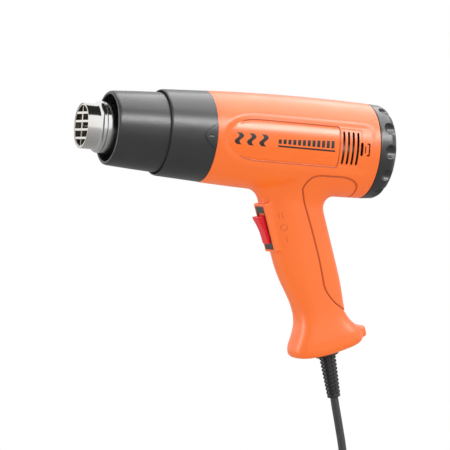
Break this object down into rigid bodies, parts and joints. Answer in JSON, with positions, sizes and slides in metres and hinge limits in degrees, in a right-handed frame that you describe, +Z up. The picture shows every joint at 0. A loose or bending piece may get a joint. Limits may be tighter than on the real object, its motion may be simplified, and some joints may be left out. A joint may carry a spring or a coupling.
{
  "type": "heat gun",
  "caption": "Pistol-grip hot air gun with steel outlet tube, two-part heat guard, split shell, rocker switch, fan, heater and a coiled mains cord.",
  "frame": {"origin": "middle of the handle's grip, on the split plane", "axes": "+X along the barrel from the nozzle to the rear cap, +Z up, +Y across the width"},
  "size_m": [0.2513, 0.0898, 0.4505],
  "materials": {
    "orange_shell": "satin moulded plastic",
    "dark_plastic": "satin moulded plastic",
    "bright_steel": "polished steel",
    "plain_steel": "plain steel",
    "black_plastic": "gloss moulded plastic",
    "red_rocker": "gloss moulded plastic",
    "copper": "bare copper alloy",
    "pale_plastic": "heat-proof moulded plastic",
    "mica": "layered mica sheet",
    "magnet": "sintered ferrite",
    "board": "lacquered circuit board",
    "capacitor_case": "gloss case",
    "wire_sleeve": "soft sleeve",
    "cord_rubber": "matt rubber",
    "plug_rubber": "matt moulded rubber",
    "brass_pins": "nickel-plated brass"
  },
  "bodies": {
    "root": {"housing_left": "orange_shell", "housing_right": "orange_shell", "rear_cap": "dark_plastic", "intake_grille": "dark_plastic", "rear_sleeve": "dark_plastic", "front_sleeve": "dark_plastic", "nozzle_tube": "bright_steel", "outlet_grille": "bright_steel", "switch_frame": "black_plastic", "switch_terminals": "copper", "motor_can": "plain_steel", "motor_magnets": "magnet", "motor_end_bell": "pale_plastic", "front_bearing": "copper", "rear_bearing": "copper", "brushes": "magnet", "motor_mount": "pale_plastic", "air_funnel": "pale_plastic", "mica_plate_upright": "mica", "mica_plate_flat": "mica", "heating_coils": "plain_steel", "mica_sleeve": "mica", "thermal_cutout": "plain_steel", "thermal_fuse": "plain_steel", "rectifier_board": "board", "diodes": "black_plastic", "capacitor": "capacitor_case", "housing_screws": "plain_steel", "cord_inner_end": "cord_rubber", "cord_clamp": "pale_plastic", "clamp_screws": "plain_steel", "lead_wires": "wire_sleeve", "strain_relief": "cord_rubber", "power_cord": "cord_rubber", "cord_tail": "cord_rubber", "cord_coil": "cord_rubber", "coil_tie": "black_plastic", "plug_body": "plug_rubber", "plug_pins": "brass_pins"},
    "rocker": {"rocker": "red_rocker"},
    "contact": {"contact_bridge": "copper"},
    "rotor": {"rotor_shaft": "plain_steel", "armature": "plain_steel", "windings": "copper", "commutator": "copper", "fan": "pale_plastic"}
  },
  "joints": [
    {"name": "rocker_tilt", "type": "hinge", "parent": "root", "child": "rocker", "pos_m": [-0.03373, 0, 0.02923], "axis": [0, 1, 0], "range_deg": [0, 18]},
    {"name": "contact_tilt", "type": "hinge", "parent": "root", "child": "contact", "pos_m": [-0.02424, 0, 0.03268], "axis": [0, 1, 0], "range_deg": [-10.8, 0]},
    {"name": "rotor_spin", "type": "hinge", "parent": "root", "child": "rotor", "pos_m": [0, 0, 0.095], "axis": [1, 0, 0], "continuous": true}
  ],
  "couplings": [
    {"joint": "contact_tilt", "follows": "rocker_tilt", "ratio": -0.6}
  ]
}
